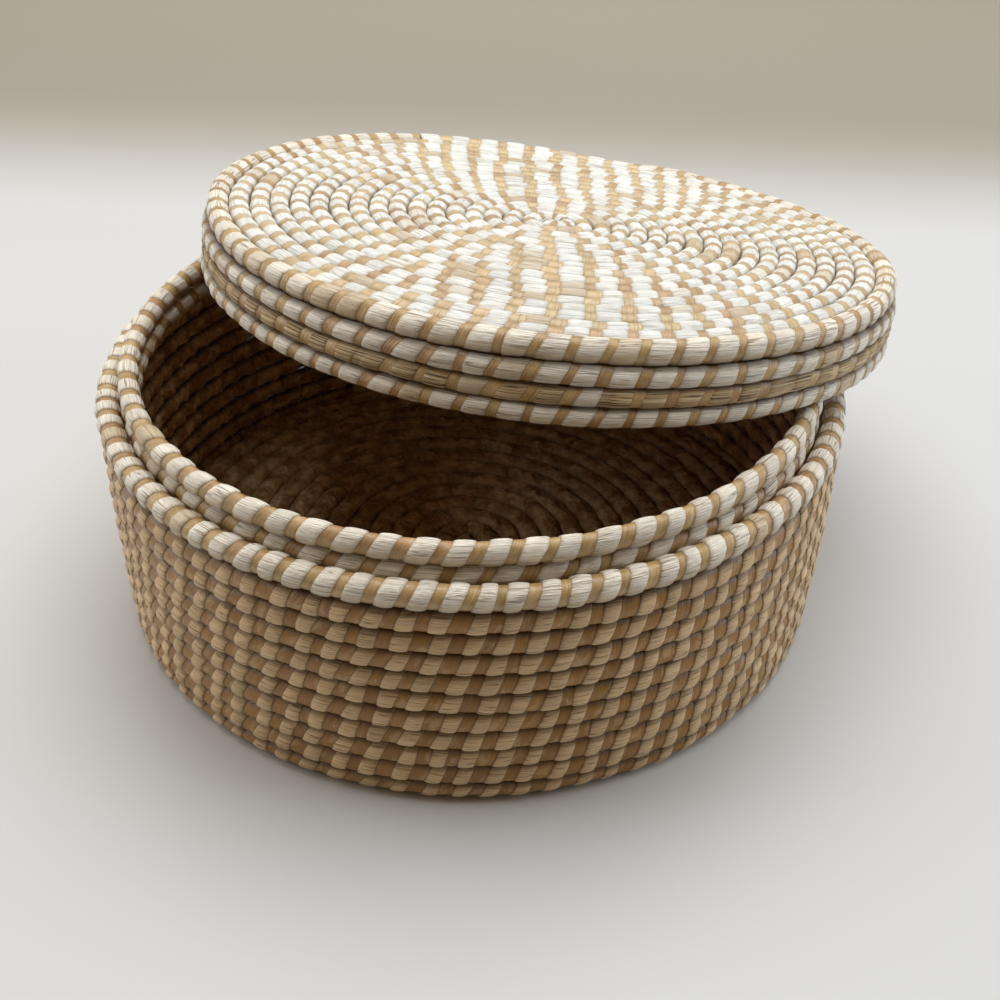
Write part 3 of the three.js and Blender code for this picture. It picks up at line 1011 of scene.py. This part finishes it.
class BASKET_OT_lid_rows(bpy.types.Operator):
    """Rim and skirt of the lid; the sheath is worn off much of the middle skirt row"""

    bl_idname = "basket.lid_rows"
    bl_label = "Lid rim and skirt"

    def execute(self, context):
        box, lid, sizes, colours = settings()
        fibres = (colours.rim_sheath, colours.rim_strip)
        kinds = {
            "lid_rim": (sizes.skirt_strip, *fibres, "below"),
            "lid_skirt": (sizes.skirt_strip, *fibres, "above and below"),
            "lid_bare": (sizes.bare_strip, *fibres, "above and below"),
        }
        materials = {kind: fibre_materials(kind, *choice) for kind, choice in kinds.items()}
        rows = lid_row_sizes(lid, box.seam_gap)
        names = ["lid_rim_row"]
        names += [f"lid_skirt_row_{index + 1}" for index in range(lid.skirt_rows)]
        for index, (name, this) in enumerate(zip(names, rows)):
            following = rows[index + 1] if index + 1 < len(rows) else None
            path, girths = row_path(this, following, 0, 1, box.seam_angle, side=-1)
            bare = name == "lid_skirt_row_2"
            kind = "lid_rim" if index == 0 else "lid_bare" if bare else "lid_skirt"
            # the rim and the first row bulge enough to close the step between them
            puffed = (1.05, 1.1) if index < 2 else (1.03, 1.06)
            obj = sewn_row(
                name + "_sewn",
                this,
                warped(path, lid),
                girths,
                sizes.lid_stitches,
                kinds[kind][0],
                materials[kind],
                40 + index,
                lean=sizes.lid_lean,
                inner_side=(0, 0.5, -0.8) if index == 0 else (0, 1, 0),
                tight=(0.88, puffed[1] - 0.04),
                puffed=puffed,
            )
            if bare:
                bare_stretches(obj, sizes.lid_stitches)
            put_lid_in_place(obj, lid)
            dress(obj, name, "lid")
        return {"FINISHED"}


def bare_stretches(obj, stitches):
    """Gives nearly all stitches of one row the bare stalks' material, and a few strips too."""
    rng = np.random.default_rng(77)
    sheathed = rng.uniform(size=stitches) < SHEATHED_SHARE
    unbound = rng.uniform(size=stitches) < UNBOUND_SHARE
    layer = obj.data.uv_layers["coil"]
    for polygon in obj.data.polygons:
        number = int(layer.data[polygon.loop_indices[0]].uv.x) % NUMBERS_A_COIL % stitches
        if unbound[number] if polygon.material_index else not sheathed[number]:
            polygon.material_index = 2


class BASKET_OT_stage(bpy.types.Operator):
    """Pale floor, soft lamps and the camera"""

    bl_idname = "basket.stage"
    bl_label = "Studio"

    def execute(self, context):
        build_floor()
        build_lamps()
        build_camera()
        context.scene.view_settings.view_transform = "Standard"
        return {"FINISHED"}


def build_floor():
    colours = bpy.context.scene.basket_colours
    bpy.ops.object.select_all(action="DESELECT")
    bpy.ops.mesh.primitive_plane_add(size=8, location=(0, 0, 0))
    floor = bpy.context.object
    floor.name = "floor"
    material, tree, shader = new_material("pale_matt_floor", 0.6)
    coordinates = add_node(tree, "ShaderNodeTexCoord")
    parts = add_node(tree, "ShaderNodeSeparateXYZ", {0: coordinates.outputs["Object"]})
    aslant = add_node(
        tree,
        "ShaderNodeMath",
        {0: parts.outputs["X"], 1: 0.03, 2: parts.outputs["Y"]},
        operation="MULTIPLY_ADD",
    )
    # how much of the backdrop's tone the floor has, by the distance behind the box in metres
    turning = ((0.05, 0), (0.3, 0.1), (0.37, 0.16), (0.45, 0.58), (0.5, 0.85), (0.56, 1))
    ramp = add_node(tree, "ShaderNodeValToRGB", {0: aslant.outputs[0]})
    ramp.color_ramp.interpolation = "CARDINAL"
    for distance, amount in turning:
        ramp.color_ramp.elements.new(distance).color = (amount, amount, amount, 1)
    tone = blend(tree, ramp.outputs[0], colours.floor, colours.backdrop)
    # painted light: lighter further away, where the lamps' light falls off
    tone = blend(tree, remap(tree, aslant.outputs[0], 0.55, 0.95), tone, colours.far)
    tree.links.new(tone, shader.inputs["Base Color"])
    floor.data.materials.append(material)


def build_lamps():
    colours = bpy.context.scene.basket_colours
    world = bpy.data.worlds.new("studio")
    bpy.context.scene.world = world
    world.use_nodes = True
    tree = world.node_tree
    fill = tree.nodes["Background"]
    fill.inputs["Color"].default_value = colours.fill
    fill.inputs["Strength"].default_value = 0.145
    # seen straight or in a gloss, the room is as pale as the backdrop
    seen = add_node(tree, "ShaderNodeBackground", {"Color": colours.room, "Strength": 1.0})
    ray = add_node(tree, "ShaderNodeLightPath")
    glossy = add_node(
        tree,
        "ShaderNodeMath",
        {0: ray.outputs["Is Glossy Ray"], 1: ray.outputs["Is Transmission Ray"]},
        operation="MAXIMUM",
    )
    either = add_node(
        tree,
        "ShaderNodeMath",
        {0: ray.outputs["Is Camera Ray"], 1: glossy.outputs[0]},
        operation="MAXIMUM",
    )
    mixed = add_node(
        tree, "ShaderNodeMixShader", {0: either.outputs[0], 1: fill.outputs[0], 2: seen.outputs[0]}
    )
    tree.links.new(mixed.outputs[0], tree.nodes["World Output"].inputs["Surface"])
    lamps = (
        ("overhead", (0.05, 0.36, 1.3), (0.0, 0.0, 0.05), 1.4, 20.8, "#ffffff"),
        ("left", (-1.3, 0.16, 0.58), (0.0, 0.0, 0.05), 1.0, 8.3, "#fbfdff"),
        ("right", (1.3, 0.12, 0.54), (0.0, 0.0, 0.05), 1.0, 9.4, "#eaf4ff"),
    )
    for name, place, target, size, power, tint in lamps:
        data = bpy.data.lights.new(name, "AREA")
        data.shape = "SQUARE"
        data.size = size
        data.energy = power
        data.color = linear(tint)[:3]
        lamp = bpy.data.objects.new(name, data)
        bpy.context.scene.collection.objects.link(lamp)
        lamp.location = place
        lamp.rotation_euler = (Vector(target) - Vector(place)).to_track_quat("-Z", "Y").to_euler()


def build_camera():
    """The photograph's view, fitted to the outlines, in pixels, radians and metres."""
    focal_pixels, frame_pixels, sensor = 1369.8, 1000, 36
    elevation, distance, roll = 0.630, 0.5995, 0.024
    target = Vector((0.0122, 0, 0.0291))
    data = bpy.data.cameras.new("camera")
    data.sensor_width = sensor
    data.lens = focal_pixels / frame_pixels * sensor
    camera = bpy.data.objects.new("camera", data)
    bpy.context.scene.collection.objects.link(camera)
    back = Vector((0, -math.cos(elevation), math.sin(elevation)))
    right = Vector((1, 0, 0))
    up = back.cross(right)
    rolled_right = math.cos(roll) * right + math.sin(roll) * up
    rolled_up = -math.sin(roll) * right + math.cos(roll) * up
    turned = Matrix((rolled_right, rolled_up, back)).transposed().to_4x4()
    camera.matrix_world = Matrix.Translation(target + back * distance) @ turned
    bpy.context.scene.camera = camera


OPERATORS = (
    BASKET_OT_stage,
    BASKET_OT_base,
    BASKET_OT_wall,
    BASKET_OT_rim,
    BASKET_OT_lid_top,
    BASKET_OT_lid_rows,
)


class BASKET_PT_panel(bpy.types.Panel):
    bl_label = "Coiled basket box"
    bl_idname = "BASKET_PT_panel"
    bl_space_type = "VIEW_3D"
    bl_region_type = "UI"
    bl_category = "Basket"

    def draw(self, context):
        for operator in OPERATORS:
            self.layout.operator(operator.bl_idname)


CLASSES = (BoxSizes, LidSizes, StitchSizes, BasketColours, *OPERATORS, BASKET_PT_panel)


def register():
    for one in CLASSES:
        bpy.utils.register_class(one)
    bpy.types.Scene.basket_box = bpy.props.PointerProperty(type=BoxSizes)
    bpy.types.Scene.basket_lid = bpy.props.PointerProperty(type=LidSizes)
    bpy.types.Scene.basket_stitches = bpy.props.PointerProperty(type=StitchSizes)
    bpy.types.Scene.basket_colours = bpy.props.PointerProperty(type=BasketColours)


def unregister():
    del bpy.types.Scene.basket_colours
    del bpy.types.Scene.basket_stitches
    del bpy.types.Scene.basket_lid
    del bpy.types.Scene.basket_box
    for one in reversed(CLASSES):
        bpy.utils.unregister_class(one)


def main():
    register()
    bpy.ops.basket.stage()
    bpy.ops.basket.base()
    bpy.ops.basket.wall()
    bpy.ops.basket.rim()
    bpy.ops.basket.lid_top()
    bpy.ops.basket.lid_rows()


if __name__ == "__main__":
    main()
